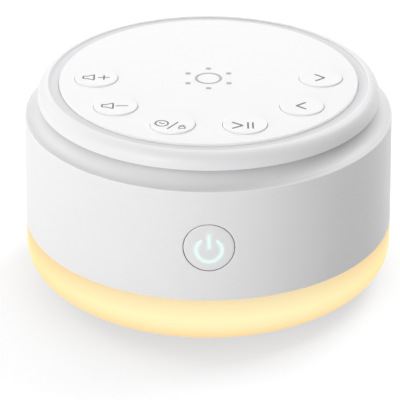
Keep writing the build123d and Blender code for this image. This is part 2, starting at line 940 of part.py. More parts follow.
save("speaker_basket", make_basket())
save("speaker_cone", make_cone())
save("dust_cap", make_dust_cap())
save("speaker_surround", make_surround())
save("speaker_spider", make_spider())
save("voice_coil", make_voice_coil())
magnet_z = speaker_seat_z + plate_t
save("speaker_top_plate", ring(plate_r, gap_out_r, speaker_seat_z, magnet_z))
save("speaker_magnet", ring(magnet_r, magnet_in_r, magnet_z, magnet_z + magnet_t))
save("speaker_yoke", make_yoke())
save("speaker_terminals", make_terminals())


# ---- Main board, what is soldered on it, and the small screws ----
def make_main_board():
    """Round board with a tab for the socket, and holes that clear the long posts."""
    board = disc(main_board_r, main_board_z, main_board_top)
    board += block((main_tab_w, main_tab_y, main_board_t), 0, main_tab_y / 2, main_board_z)
    for x, y in post_places:
        board -= disc(post_r + post_clear, main_board_z, main_board_top, x, y)
    for x, y in board_post_places:
        board -= disc(small_screw_r + screw_hole_gap, main_board_z, main_board_top, x, y)
    return board


def make_usb_socket():
    """Folded metal shell, open to the rear."""
    back = usb_mouth_y - usb_l
    shell = stadium(usb_w, usb_h, back, usb_mouth_y, usb_z)
    return shell - stadium(usb_w - 2 * usb_wall, usb_h - 2 * usb_wall, back, usb_mouth_y, usb_z)


def make_usb_tongue():
    """Dark insert: a plug that closes the back of the shell, and the contact tongue."""
    back = usb_mouth_y - usb_l
    plug = stadium(usb_w - 2 * usb_wall, usb_h - 2 * usb_wall, back, back + usb_back_l, usb_z)
    tongue_size = (usb_tongue_w, usb_tongue_l, usb_tongue_t)
    tongue_y = back + usb_back_l + usb_tongue_l / 2
    return plug + block(tongue_size, 0, tongue_y, usb_z - usb_tongue_t / 2)


save("main_board", make_main_board())
save("usb_socket", make_usb_socket())
save("usb_tongue", make_usb_tongue())
save("board_chips", *[block(size, x, y, main_board_top) for size, x, y in chip_places])
save("capacitors", *[disc(can_r, main_board_top, main_board_top + can_h, x, y) for x, y in can_places])

small_screw = screw(small_screw_length, small_screw_r, small_head_r, small_head_h, small_head_h / 2)
small_screws = [Pos(x, y, main_board_z) * Rot(180, 0, 0) * small_screw for x, y in board_post_places]
for side in (-1, 1):
    back_y = power_board_front + board_t
    small_screws.append(Pos(side * power_post_x, back_y, power_z) * Rot(-90, 0, 0) * small_screw)
for x, y in ear_places:
    small_screws.append(Pos(x, y, flange_top) * small_screw)
save("small_screws", *small_screws)

# ---- Battery on its foam tape under the deck ----
battery = block((battery_l, battery_w, battery_h), 0, 0, battery_low)
tape_size = (battery_l - 2 * tape_inset, battery_w - 2 * tape_inset, tape_t)
save("battery_tape", block(tape_size, 0, 0, tape_low))
save("battery_cell", fillet(battery.edges(), battery_edge))

# ---- Sockets and wires ----
low_size = (socket_size[0], socket_size[1], low_socket_h)
side_size = (socket_size[1], socket_size[0], socket_size[2])
low_socket_z = main_board_z - low_socket_h
high_socket_z = main_board_top + socket_size[2]
save(
    "wire_sockets",
    block(socket_size, battery_socket_x, 0, main_board_top),
    block(side_size, 0, power_socket_y, main_board_top),
    block(low_size, ring_socket_x, 0, low_socket_z),
    Rot(0, 0, terminal_deg) * block(low_size, speaker_socket_r, 0, low_socket_z),
)

save(
    "ribbon_sockets",
    block(ribbon_socket, 0, ribbon_y, key_board_z - ribbon_socket[2]),
    block(ribbon_socket, 0, ribbon_y, main_board_top),
)


def make_ribbon():
    """Flat cable with one soft bow between its two sockets."""
    high = key_board_z - ribbon_socket[2]
    low = main_board_top + ribbon_socket[2]
    quarter = (high - low) / 4
    path = FilletPolyline(
        (0, ribbon_y, high),
        (0, ribbon_y, high - quarter),
        (0, ribbon_y + ribbon_sway, (high + low) / 2),
        (0, ribbon_y, low + quarter),
        (0, ribbon_y, low),
        radius=ribbon_bend,
    )
    section = Plane(origin=path @ 0, x_dir=(1, 0, 0), z_dir=path % 0) * Rectangle(ribbon_w, ribbon_t)
    return sweep(section, path=path)


def make_battery_wire(y):
    z = battery_low + battery_h / 2
    start_x = battery_l / 2
    points = [(start_x, y, z), (battery_socket_x, y, z), (battery_socket_x, y, high_socket_z)]
    return wire(points, wire_bend)


def make_power_wire(x):
    z = high_socket_z + power_wire_rise
    start_y = power_board_front + board_t
    return wire([(x, start_y, z), (x, power_socket_y, z), (x, power_socket_y, high_socket_z)], wire_bend)


def make_ring_wire(y):
    start_x = ring_board_in_r + wire_step
    middle_z = (ring_board_top + low_socket_z) / 2
    points = [
        (start_x, y, ring_board_top),
        (start_x, y, middle_z),
        (ring_socket_x, y, middle_z),
        (ring_socket_x, y, low_socket_z),
    ]
    return wire(points, wire_bend)


def make_speaker_wire(y):
    start_z = flange_top + terminal_size[2]
    third = (low_socket_z - start_z) / 3
    points = [
        (terminal_r, y, start_z),
        (terminal_r, y, start_z + third),
        (speaker_socket_r, y, low_socket_z - third),
        (speaker_socket_r, y, low_socket_z),
    ]
    return Rot(0, 0, terminal_deg) * wire(points, wire_bend)


save("ribbon_cable", make_ribbon())
save("battery_wires", *pair(make_battery_wire, wire_step))
save("power_board_wires", *[make_power_wire(x) for x in (-wire_step, 0, wire_step)])
save("ring_board_wires", *pair(make_ring_wire, wire_step))
save("speaker_wires", *pair(make_speaker_wire, wire_step))
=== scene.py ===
"""White noise sound machine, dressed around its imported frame. Metres, +Z up, front at -Y."""
from math import cos, radians, sin

import bmesh
import bpy
import numpy as np
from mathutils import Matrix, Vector


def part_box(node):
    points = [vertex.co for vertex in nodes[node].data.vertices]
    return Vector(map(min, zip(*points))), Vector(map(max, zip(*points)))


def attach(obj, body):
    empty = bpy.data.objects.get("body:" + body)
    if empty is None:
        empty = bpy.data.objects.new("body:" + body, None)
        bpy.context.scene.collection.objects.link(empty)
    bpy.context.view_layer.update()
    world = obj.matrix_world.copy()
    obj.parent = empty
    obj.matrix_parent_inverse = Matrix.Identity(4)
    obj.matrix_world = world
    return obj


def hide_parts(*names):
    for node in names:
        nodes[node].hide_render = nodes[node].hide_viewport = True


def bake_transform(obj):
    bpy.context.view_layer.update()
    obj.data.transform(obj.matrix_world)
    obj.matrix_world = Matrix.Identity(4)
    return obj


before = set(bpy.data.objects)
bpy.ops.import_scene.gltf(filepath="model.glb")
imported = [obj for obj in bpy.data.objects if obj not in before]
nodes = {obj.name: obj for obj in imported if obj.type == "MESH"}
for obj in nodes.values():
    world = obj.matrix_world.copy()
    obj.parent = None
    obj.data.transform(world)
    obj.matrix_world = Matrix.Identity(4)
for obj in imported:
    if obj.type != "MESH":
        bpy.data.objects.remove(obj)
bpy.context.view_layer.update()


# ---- Base plate ----
# White moulded plate that four screws hold over the machine's mouth, with a round field of sound
# holes. Its face keeps the fine spark grain of the mould, and the flow of the melt leaves slow
# waves of gloss on it.
MM = 0.001
melt_waves = 11 * MM
wave_gloss = 0.12
grain_gloss = 0.05
tint_low = 0.975


class Shade:
    """An output of a shader node. Arithmetic on it adds Math nodes, and add() any other node."""

    def __init__(self, tree, output=None):
        self.tree = tree
        self.output = output

    def add(self, kind, settings=None, inputs=None, result=0):
        """Adds a node: its settings first, then the values or links of its sockets."""
        node = self.tree.nodes.new("ShaderNode" + kind)
        for name, value in (settings or {}).items():
            setattr(node, name, value)
        for name, value in (inputs or {}).items():
            if isinstance(value, Shade):
                self.tree.links.new(value.output, node.inputs[name])
            else:
                node.inputs[name].default_value = value
        return Shade(self.tree, node.outputs[result])

    def math(self, operation, other=0.0):
        """This value and another one through a Math node."""
        return self.add("Math", {"operation": operation}, {0: self, 1: other})

    def __add__(self, other):
        return self.math("ADD", other)

    def __sub__(self, other):
        return self.math("SUBTRACT", other)

    def __rsub__(self, other):
        return self.add("Math", {"operation": "SUBTRACT"}, {0: other, 1: self})

    def __mul__(self, other):
        return self.math("MULTIPLY", other)

    def __truediv__(self, other):
        return self.math("DIVIDE", other)

    def __rtruediv__(self, other):
        return self.add("Math", {"operation": "DIVIDE"}, {0: other, 1: self})

    def __pow__(self, other):
        return self.math("POWER", other)

    def __abs__(self):
        return self.math("ABSOLUTE")

    __radd__ = __add__
    __rmul__ = __mul__

    def mix(self, low, high):
        """Colour between low, where this value is 0, and high, where it is 1."""
        return self.add("Mix", {"data_type": "RGBA"}, {0: self, 6: low, 7: high}, result=2)

    def part(self, axis):
        """One coordinate of a place: 0, 1 or 2."""
        return self.add("SeparateXYZ", {}, {0: self}, result=axis)

    def noise(self, size, detail=2.0):
        """Cloudy value from 0 to 1 at this place, with lumps of a size in metres."""
        return self.add("TexNoise", {}, {"Vector": self, "Scale": 1 / size, "Detail": detail})

    def relief(self, depth):
        """Normal of a surface raised by this value times a depth in metres."""
        return self.add("Bump", {}, {"Height": self, "Distance": depth})


def tone(red, green, blue):
    """Linear colour from the eight-bit values of a screen."""
    screen = np.array([red, green, blue]) / 255
    return (*np.where(screen > 0.04045, ((screen + 0.055) / 1.055) ** 2.4, screen / 12.92), 1.0)


def finish(name, fixed, varied):
    """Material of one Principled shader: fixed sockets, and those worked out from the place."""
    material = bpy.data.materials.new(name)
    material.use_nodes = True
    shader = material.node_tree.nodes["Principled BSDF"]
    for socket, value in fixed.items():
        shader.inputs[socket].default_value = value
    place = Shade(material.node_tree).add("TexCoord", result="Object")
    for socket, shade in varied(place).items():
        material.node_tree.links.new(shade.output, shader.inputs[socket])
    return material


def moulded(name, colour, roughness, grain_size, grain_depth):
    """Moulded plastic: spark grain, slow waves of gloss, and a tint a breath uneven."""
    dull = tuple(tint_low * channel for channel in colour[:3]) + (1.0,)

    def varied(place):
        grain = place.noise(grain_size)
        flow = place.noise(melt_waves)
        return {
            "Base Color": flow.mix(dull, colour),
            "Roughness": roughness + (flow - 0.5) * wave_gloss + (grain - 0.5) * grain_gloss,
            "Normal": grain.relief(grain_depth),
        }

    return finish(name, {}, varied)


def dress(material, *names):
    """Gives CAD nodes a material."""
    for name in names:
        nodes[name].data.materials.clear()
        nodes[name].data.materials.append(material)


base_plastic = moulded("base_plastic", tone(236, 236, 237), 0.5, 0.22 * MM, 0.006 * MM)
dress(base_plastic, "base_plate")


# ---- Feet ----
# Four soft grey silicone pads pressed into their recesses, matt, a little dusty and slightly
# mottled where the sheet they are cut from was rolled.
def silicone(place):
    """Grey that is mixed, and dulled, by a cloudy mottle, under a fine skin."""
    mottle = place.noise(1.6 * MM, 4.0)
    skin = place.noise(0.12 * MM)
    return {
        "Base Color": mottle.mix(tone(176, 177, 179), tone(196, 197, 198)),
        "Roughness": 0.62 + mottle * 0.2,
        "Normal": skin.relief(0.008 * MM),
    }


dress(finish("foot_silicone", {}, silicone), "rubber_feet")


# ---- Grille cloth and gasket ----
# Black acoustic mesh stretched behind the sound holes, and the closed-cell foam ring that
# presses it to the plate.
def mesh_cloth(pitch, dark, light):
    """Plain weave: the larger of the absolute sines of x and y, bright on the threads' backs."""

    def varied(place):
        across, along = [abs((place.part(axis) / pitch).math("SINE")) for axis in (0, 1)]
        threads = across.math("MAXIMUM", along)
        return {
            "Base Color": threads.mix(dark, light),
            "Normal": threads.relief(0.05 * MM),
        }

    return varied


def cellular(name, colour, cell):
    """Foam: the distance from the middle of each small round cell, up to its bright wall."""
    wall_light = 2.2
    bright = tuple(wall_light * channel for channel in colour[:3]) + (1.0,)

    def varied(place):
        cells = place.add("TexVoronoi", {}, {"Vector": place, "Scale": 1 / cell})
        return {"Base Color": cells.mix(colour, bright), "Normal": cells.relief(0.3 * cell)}

    return finish(name, {"Roughness": 0.9}, varied)


cloth_black = {"Roughness": 0.85, "Sheen Weight": 0.3}
weave = mesh_cloth(0.09 * MM, tone(14, 14, 15), tone(58, 58, 60))
dress(finish("grille_mesh", cloth_black, weave), "grille_cloth")
dress(cellular("gasket_foam", tone(44, 44, 45), 0.35 * MM), "speaker_gasket")
dress(cellular("tape_foam", tone(40, 40, 41), 0.25 * MM), "battery_tape")


# ---- Screws ----
# Zinc-plated steel screws that clamp the base plate, the panel and the boards. The cutter and the
# plating drum leave fine turned lines and a soft haze. The loudspeaker's plates and terminals and
# the touch spring are plated in the same way.
def turned_steel(place):
    """Lines are noise drawn out twentyfold across the screw's axis, and haze is round noise."""
    drawn_out = place.add("VectorMath", {"operation": "MULTIPLY"}, {0: place, 1: (0.05, 0.05, 1.0)})
    lines = drawn_out.noise(0.11 * MM, 3.0)
    haze = place.noise(1.2 * MM)
    return {
        "Base Color": haze.mix(tone(176, 178, 182), tone(206, 208, 210)),
        "Roughness": 0.24 + lines * 0.2,
        "Normal": lines.relief(0.004 * MM),
    }


zinc = finish("zinc_steel", {"Metallic": 1.0}, turned_steel)
dress(zinc, "base_screws", "panel_screws", "small_screws", "speaker_top_plate", "speaker_yoke")
dress(zinc, "touch_spring", "speaker_terminals")


# ---- Loudspeaker ----
# Black-coated steel basket that is screwed to the base plate by its ears, ground ferrite ring,
# pulp cone and cap with pressed fibres, soft rubber roll, amber resin-cloth spider and a copper
# coil. Roll and spider are glued to the basket outside and to the cone inside.
def coat(place):
    """Baked paint: its colour, gloss and height all follow one small orange-peel noise."""
    orange_peel = place.noise(0.5 * MM)
    return {
        "Base Color": orange_peel.mix(tone(22, 22, 23), tone(38, 38, 39)),
        "Roughness": 0.35 + orange_peel * 0.2,
        "Normal": orange_peel.relief(0.02 * MM),
    }


def ground_ferrite(place):
    """Dark ceramic whose specks are brighter, duller and higher."""
    specks = place.noise(0.3 * MM, 5.0)
    return {
        "Base Color": specks.mix(tone(44, 44, 46), tone(84, 84, 88)),
        "Roughness": 0.45 + specks * 0.3,
        "Normal": specks.relief(0.02 * MM),
    }


def pulp(place):
    """Pressed paper, with fibres as very rough noise."""
    fibres = place.noise(0.4 * MM, 8.0)
    return {
        "Base Color": fibres.mix(tone(38, 37, 36), tone(92, 90, 86)),
        "Roughness": 0.75 + fibres * 0.2,
        "Normal": fibres.relief(0.05 * MM),
    }


def soft_roll(place):
    """Rubber with a slow bloom of paler, duller patches."""
    bloom = place.noise(3 * MM, 3.0)
    return {
        "Base Color": bloom.mix(tone(26, 26, 27), tone(44, 44, 45)),
        "Roughness": 0.5 + bloom * 0.25,
    }


def enamel_wire(place):
    """Turns of wire as a sine of the height."""
    turns = (place.part(2) / (0.035 * MM)).math("SINE") * 0.5 + 0.5
    return {
        "Base Color": turns.mix(tone(150, 74, 36), tone(214, 130, 76)),
        "Normal": turns.relief(0.03 * MM),
    }


dress(finish("basket_coat", {"Metallic": 0.3}, coat), "speaker_basket")
dress(finish("magnet_ferrite", {}, ground_ferrite), "speaker_magnet")
dress(finish("cone_pulp", {}, pulp), "speaker_cone", "dust_cap")
dress(finish("coil_copper", {"Metallic": 1.0, "Roughness": 0.3}, enamel_wire), "voice_coil")


def flexing(name, node, material):
    """Soft ring copied from its CAD node, with a material of its own, standing in for the node.

    Its places are read into an array, and nothing moves them.
    """
    soft = bpy.data.objects.new(name, nodes[node].data.copy())
    bpy.context.scene.collection.objects.link(soft)
    soft.data.materials.clear()
    soft.data.materials.append(material)
    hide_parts(node)
    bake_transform(soft)
    places = np.empty(3 * len(soft.data.vertices), np.float32)
    soft.data.vertices.foreach_get("co", places)
    return soft


roll_rubber = finish("roll_rubber", {}, soft_roll)
roll = flexing("roll", "speaker_surround", roll_rubber)

amber = mesh_cloth(0.16 * MM, tone(150, 106, 44), tone(222, 178, 96))
amber_cloth = finish("amber_cloth", {"Roughness": 0.8}, amber)
spider = flexing("spider", "speaker_spider", amber_cloth)


# ---- Circuit boards and what is soldered on them ----
# Glass laminate under solder mask, with copper tracks that show as brighter bands, black epoxy
# chips with a fine sparkle, sleeved cans, nylon sockets and phosphor lamps.
def laminate(mask, track):
    """Solder mask over copper tracks, which are the joints of a brick pattern."""

    def varied(place):
        bricks = {"Vector": place, "Scale": 0.26 / MM, "Mortar Size": 0.09, "Row Height": 0.3}
        tracks = place.add("TexBrick", {}, bricks, result=1)
        glass = place.noise(0.6 * MM)
        return {
            "Base Color": tracks.mix(mask, track),
            "Roughness": 0.3 + glass * 0.2,
            "Normal": tracks.relief(0.03 * MM),
        }

    return varied


green_board = finish("green_laminate", {}, laminate(tone(20, 92, 52), tone(60, 138, 84)))
white_board = finish("white_laminate", {}, laminate(tone(236, 236, 230), tone(214, 214, 206)))
dress(green_board, "main_board", "key_board", "power_board")
dress(white_board, "ring_board")
chip_epoxy = moulded("chip_epoxy", tone(42, 42, 43), 0.5, 0.08 * MM, 0.01 * MM)
dress(chip_epoxy, "board_chips")
switch_plastic = moulded("switch_plastic", tone(40, 40, 42), 0.4, 0.15 * MM, 0.005 * MM)
dress(switch_plastic, "switch_housings", "usb_tongue")
socket_nylon = moulded("socket_nylon", tone(232, 226, 206), 0.45, 0.2 * MM, 0.006 * MM)
dress(socket_nylon, "wire_sockets", "ribbon_sockets")
plunger_nylon = moulded("plunger_nylon", tone(216, 216, 212), 0.4, 0.2 * MM, 0.004 * MM)
dress(plunger_nylon, *[name for name in nodes if name.startswith("plunger_")])
lamp_phosphor = moulded("lamp_phosphor", tone(248, 226, 130), 0.35, 0.1 * MM, 0.004 * MM)
dress(lamp_phosphor, "ring_leds", "power_leds")
can_sleeve = moulded("can_sleeve", tone(60, 64, 74), 0.28, 0.4 * MM, 0.004 * MM)
dress(can_sleeve, "capacitors")


# ---- Battery ----
# Lithium pouch in aluminium laminate film, creased where it was folded and sealed. Foam tape holds
# it under the deck.
def pouch(place):
    """Bright film whose creases are slow noise with fine folds in it."""
    creases = place.noise(5 * MM, 6.0)
    return {
        "Base Color": creases.mix(tone(184, 187, 192), tone(218, 220, 223)),
        "Roughness": 0.25 + creases * 0.3,
        "Normal": creases.relief(0.25 * MM),
    }


dress(finish("pouch_film", {"Metallic": 0.9}, pouch), "battery_cell")


# ---- Wires and ribbon ----
# Silicone-covered hook-up wire, smeared a little by the extruder, and a flat laminated ribbon
# whose conductors show as stripes. Both are plugged into sockets on the boards.
def insulation(place):
    """Red that a slow smear makes brighter, duller and thicker."""
    smear = place.noise(2.5 * MM)
    return {
        "Base Color": smear.mix(tone(150, 30, 28), tone(196, 48, 42)),
        "Roughness": 0.38 + smear * 0.2,
        "Normal": smear.relief(0.05 * MM),
    }


def striped_film(place):
    """Conductors as a sine of the sideways place."""
    stripes = (place.part(0) / (0.16 * MM)).math("SINE") * 0.5 + 0.5
    return {
        "Base Color": stripes.mix(tone(236, 237, 240), tone(178, 184, 196)),
        "Normal": stripes.relief(0.05 * MM),
    }


wire_red = finish("wire_red", {}, insulation)
dress(wire_red, "battery_wires", "power_board_wires", "ring_board_wires", "speaker_wires")
dress(finish("ribbon_film", {"Roughness": 0.3}, striped_film), "ribbon_cable")


# ---- Light ring ----
# Milky moulded ring, clamped between the shell and the base plate, straight above and rounded
# inwards below. Lamps inside light it. It is brightest half way up and warmer towards its edges,
# where the light passes through more of the plastic.
around_steps = 360
same_place = 1e-8
weld_gap = 0.0004 * MM
sharp_bend = radians(38)


def outline(corners, steps=8):
    """Closed outline of radius and height whose corners are cut back and rounded.

    A corner is radius, height, and how far the rounding reaches back and ahead along the two
    sides. Between those two points the line is a quarter of an ellipse: the corner, plus the
    way back times one minus the sine, plus the way ahead times one minus the cosine.
    """
    full = np.array([(*corner, *[0.0] * (4 - len(corner))) for corner in corners])
    place = full[:, :2]
    cuts = np.where(full[:, 3:] == 0, full[:, 2:3], full[:, 3:])
    to_last = np.roll(place, 1, 0) - place
    to_next = np.roll(place, -1, 0) - place
    back = to_last / np.linalg.norm(to_last, axis=1, keepdims=True) * full[:, 2:3]
    ahead = to_next / np.linalg.norm(to_next, axis=1, keepdims=True) * cuts
    turn = np.linspace(0, np.pi / 2, steps + 1)[None, :, None]
    curve = place[:, None] + back[:, None] * (1 - np.sin(turn)) + ahead[:, None] * (1 - np.cos(turn))
    points = curve.reshape(-1, 2)
    apart = np.linalg.norm(points - np.roll(points, 1, 0), axis=1) > same_place
    return points[apart]


def quads(rows, columns, wrap_rows, wrap_columns):
    """Corner numbers of the faces of a grid, whose last row and column may join the first."""
    row = np.arange(rows if wrap_rows else rows - 1)[:, None]
    column = np.arange(columns if wrap_columns else columns - 1)[None, :]
    up = (row + 1) % rows
    on = (column + 1) % columns
    corners = [row * columns + column, row * columns + on, up * columns + on, up * columns + column]
    return np.stack(np.broadcast_arrays(*corners), -1)


def piece(name, points, faces, material, body, *replaced):
    """New mesh piece with welded seams, smooth but for its sharp edges, that rides on a body."""
    mesh = bpy.data.meshes.new(name)
    mesh.from_pydata(points.reshape(-1, 3).tolist(), [], faces.reshape(-1, 4).tolist())
    welded = bmesh.new()
    welded.from_mesh(mesh)
    bmesh.ops.remove_doubles(welded, verts=welded.verts, dist=weld_gap)
    welded.to_mesh(mesh)
    welded.free()
    mesh.shade_smooth()
    mesh.set_sharp_from_angle(angle=sharp_bend)
    mesh.materials.append(material)
    made = bpy.data.objects.new(name, mesh)
    bpy.context.scene.collection.objects.link(made)
    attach(made, body)
    if replaced:
        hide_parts(*replaced)
    return made


def revolved(points, steps, centre=(0.0, 0.0)):
    """Outline carried round an upright axis, from the front on: column j is turned by j steps."""
    angle = np.arange(steps) * 2 * np.pi / steps - np.pi / 2
    radius, height = points[:, :1], points[:, 1:]
    around = [centre[0] + radius * np.cos(angle), centre[1] + radius * np.sin(angle)]
    return np.stack([*around, np.broadcast_to(height, around[0].shape)], -1)


def turned(name, points, steps, material, body, *replaced):
    """Piece turned from a closed outline that runs up its outer side."""
    touches_axis = points[0, 0] == 0
    grid = revolved(points, steps)
    return piece(name, grid, quads(len(points), steps, not touches_axis, True), material, body, *replaced)


ring_low, ring_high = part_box("light_ring")
seam_r = ring_high.x
seam_round = 0.15 * MM
tongue_h = 2.0 * MM
tongue_t = 1.4 * MM
tongue_root = 1.0 * MM
ring_wall = 2.0 * MM
bulge_w = 12.0 * MM
bulge_h = 8.55 * MM
ring_lip_w = 2.6 * MM
ring_lip_t = 1.2 * MM
base_rim_t = 1.8 * MM
glow_rise = 1.2 * MM
glow_below = 0.62
glow_fall = 1.1
inner_steps = 16

seam_z = ring_high.z - tongue_h
ring_foot_r = seam_r - bulge_w
ring_in_r = seam_r - ring_wall
tongue_r = ring_in_r - seam_round
bulge_z = ring_low.z + bulge_h
lip_low = ring_low.z + base_rim_t
lip_high = lip_low + ring_lip_t
inner_fall = bulge_h - ring_wall
lip_drop = (bulge_z - lip_high) / inner_fall
inner_turn = np.linspace(0, np.arcsin(lip_drop), inner_steps)
inner_bulge = np.stack([ring_foot_r + (bulge_w - ring_wall) * np.cos(inner_turn),
                        bulge_z - inner_fall * np.sin(inner_turn)], -1)

diffuser_shape = outline([
    (ring_foot_r, ring_low.z),
    (seam_r, ring_low.z, bulge_w, bulge_h),
    (seam_r, seam_z, seam_round),
    (tongue_r, seam_z),
    (tongue_r, ring_high.z),
    (tongue_r - tongue_t, ring_high.z),
    (tongue_r - tongue_t, seam_z - tongue_root),
    (ring_in_r, seam_z - tongue_root - ring_wall),
    *inner_bulge,
    (ring_foot_r - ring_lip_w, lip_high),
    (ring_foot_r - ring_lip_w, lip_low),
    (ring_foot_r, lip_low),
], steps=24)
glow_z = bulge_z + glow_rise
glow_reach = seam_z - glow_z


def lit_through(place):
    """Light that falls off from the brightest height towards both edges of the band.

    It goes with the height over that place as a share of the way to the seam, or under it with a
    smaller share, raised to a power, plus a faint cloud.
    """
    above = (place.part(2) - glow_z) / glow_reach
    off_middle = above.math("MAXIMUM", above * -glow_below).math("MINIMUM", 1.0)
    cloud = (place.noise(6 * MM) - 0.5) * 0.06
    return {
        "Emission Color": (off_middle ** glow_fall + cloud).mix(tone(248, 251, 213), tone(231, 224, 192)),
        "Roughness": 0.34 + cloud,
        "Normal": place.noise(0.2 * MM).relief(0.004 * MM),
    }


milky = {
    "Base Color": tone(96, 84, 62),
    "Specular IOR Level": 0.1,
    "Emission Strength": 1.03,
    "Coat Weight": 1.0,
    "Coat IOR": 1.05,
    "Coat Roughness": 0.3,
    "Coat Tint": tone(255, 243, 229),
}
diffuser = finish("milky_diffuser", milky, lit_through)
light_ring = turned("diffuser_ring", diffuser_shape, around_steps, diffuser, "housing", "light_ring")
reflector_plastic = moulded("reflector_plastic", tone(246, 246, 244), 0.3, 0.4 * MM, 0.004 * MM)
dress(reflector_plastic, "ring_reflector")


# ---- Body shell ----
# Drum-shaped white housing in satin plastic, screwed down on the base plate. Its wall leans in a
# little to leave the mould, a cove runs up from its rounded edge to the neck, and it is cut
# through for the power key in front and for the charging socket behind.
wall_h = 30.9 * MM
wall_lean = 0.73 * MM
wall_t = 2.0 * MM
edge_round = 0.25 * MM
cove_r = 3.92 * MM
neck_h = 0.73 * MM
deck_t = 1.8 * MM
deck_clear = 0.9 * MM
foot_post_r = 3.5 * MM
foot_post_z = 6.0 * MM
foot_post_bore = (1.5 * MM, 10.5 * MM)
screw_head_r = 2.7 * MM
board_post_x = 33.0 * MM
board_post_y = 12.0 * MM
board_post_r = 2.75 * MM
board_post_z = 29.6 * MM
board_post_bore = (1.0 * MM, 2.4 * MM)
satin_grain = 0.3 * MM
# Painted shade: grey for the walls of the gap round the power key.
gap_shade_grey = tone(156, 156, 158)
gap_shade_margin = 0.01 * MM
# Painted shade under the collar, and a painted highlight along the wall's rounded edge.
painted_shade_fall = 1.5
edge_highlight_drop = 0.12 * MM
edge_highlight_w = 0.22 * MM

edge_z = seam_z + wall_h
edge_r = seam_r - wall_lean
neck_r = edge_r - edge_round - cove_r
neck_in_r = neck_r - wall_t
seat_z = edge_z + cove_r + neck_h
deck_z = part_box("key_board")[0].z - deck_clear

power_z = sum(corner.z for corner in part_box("power_key")) / 2
power_hole_r = 6.65 * MM
usb_low, usb_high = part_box("usb_socket")
usb_z = (usb_low.z + usb_high.z) / 2
usb_gap = 0.33 * MM
hole_rim = 0.15 * MM
window_half = 8.0 * MM
window_rows = 20
window_columns = 10
bore_rows = 5
rim_rows = 4
post_steps = 48


def wall_r(height):
    """Radius of the leaning wall at a height."""
    return seam_r - wall_lean * (height - seam_z) / wall_h


window_z = power_z + np.linspace(-window_half, window_half, window_rows + 1)
shell_shape = outline([
    (0, deck_z - deck_t),
    (neck_in_r + wall_t / 2, deck_z - deck_t),
    (edge_r - wall_t, deck_z - deck_t - wall_t),
    *[(wall_r(height) - wall_t, height) for height in window_z[::-1]],
    (seam_r - wall_t, seam_z),
    (seam_r, seam_z, seam_round),
    *[(wall_r(height), height) for height in window_z],
    (edge_r, edge_z, edge_round),
    (neck_r, edge_z, cove_r),
    (neck_r, seat_z, seam_round),
    (neck_in_r, seat_z, seam_round),
    (neck_in_r, deck_z),
    (0, deck_z),
], steps=12)


def row_at(radius, height):
    """Number of the outline's point at a radius and a height."""
    return int(np.argmin(np.hypot(shell_shape[:, 0] - radius, shell_shape[:, 1] - height)))


outer_rows = [row_at(wall_r(height), height) for height in window_z]
inner_rows = [row_at(wall_r(height) - wall_t, height) for height in window_z]


def slot_reach(direction, half_length, radius):
    """Distance from the middle of a rounded slot to its border, in a direction round it.

    Where the ray meets a straight side it is the radius over the sine, and beyond the straight
    side it is the far crossing of the round end. With no length it is a circle's radius.
    """
    across, along = np.abs(np.sin(direction)), np.abs(np.cos(direction))
    flat = radius / np.maximum(across, 1e-9)
    end = half_length * along + np.sqrt(np.maximum(radius**2 - (half_length * across) ** 2, 0))
    return np.where(flat * along <= half_length, flat, end)


def bore(facing, centre_z, half_length, radius):
    """Skin from a window's border in the wall to the rim of a hole, through it and out inside.

    Facing is 1 at the front and -1 at the back. Each row is a loop of sideways places and
    heights. Face and back go from the border to the hole in even shares, and the rim between
    them is a quarter circle. A place lies as deep as the root of the wall's radius squared less
    the sideways place squared, less its depth in the hole.
    """
    reach = np.arange(-window_columns, window_columns + 1)
    rise = np.arange(window_rows + 1)
    column = np.concatenate([reach[:-1], np.full(window_rows, reach[-1]), reach[:0:-1],
                             np.full(window_rows, reach[0])])
    row = np.concatenate([np.zeros(len(reach) - 1, int), rise[:-1], np.full(len(reach) - 1, rise[-1]),
                          rise[:0:-1]])
    height = window_z[row]
    swing = np.sin(column * 2 * np.pi / around_steps)
    border = np.stack([wall_r(height) * swing, height], -1)
    inside = np.stack([(wall_r(height) - wall_t) * swing, height], -1)
    direction = np.arctan2(border[:, 1] - centre_z, border[:, 0])

    def loop(more):
        """Sideways places and heights round the hole, wider than it by an amount."""
        distance = slot_reach(direction, half_length, radius + more)
        return np.stack([distance * np.cos(direction), centre_z + distance * np.sin(direction)], -1)

    share = np.linspace(0, 1, bore_rows)[:, None, None]
    turn = np.linspace(0, np.pi / 2, rim_rows)[1:]
    face = border * (1 - share) + loop(hole_rim) * share
    rim = np.array([loop(hole_rim * (1 - np.sin(angle))) for angle in turn])
    back = loop(0) * (1 - share) + inside * share
    places = np.concatenate([face, rim, back])
    fall = hole_rim * (1 - np.cos(turn))
    depth = np.concatenate([np.zeros(bore_rows), fall, np.full(bore_rows, wall_t)])
    skin = wall_r(places[..., 1]) - np.where(depth == wall_t, wall_t, 0)[:, None]
    out = np.sqrt(skin**2 - places[..., 0] ** 2) - np.where(depth == wall_t, 0, depth)[:, None]
    return np.stack([facing * places[..., 0], -facing * out, places[..., 1]], -1)


def post(place, radius, low, hole_r, hole_depth):
    """Round post from a height up into the deck, with its screw's hole, as points and faces."""
    shape = outline([(0, low + hole_depth), (hole_r, low + hole_depth), (hole_r, low), (radius, low),
                     (radius, deck_z - deck_t / 2), (0, deck_z - deck_t / 2)])
    return revolved(shape, post_steps, place), quads(len(shape), post_steps, False, True)


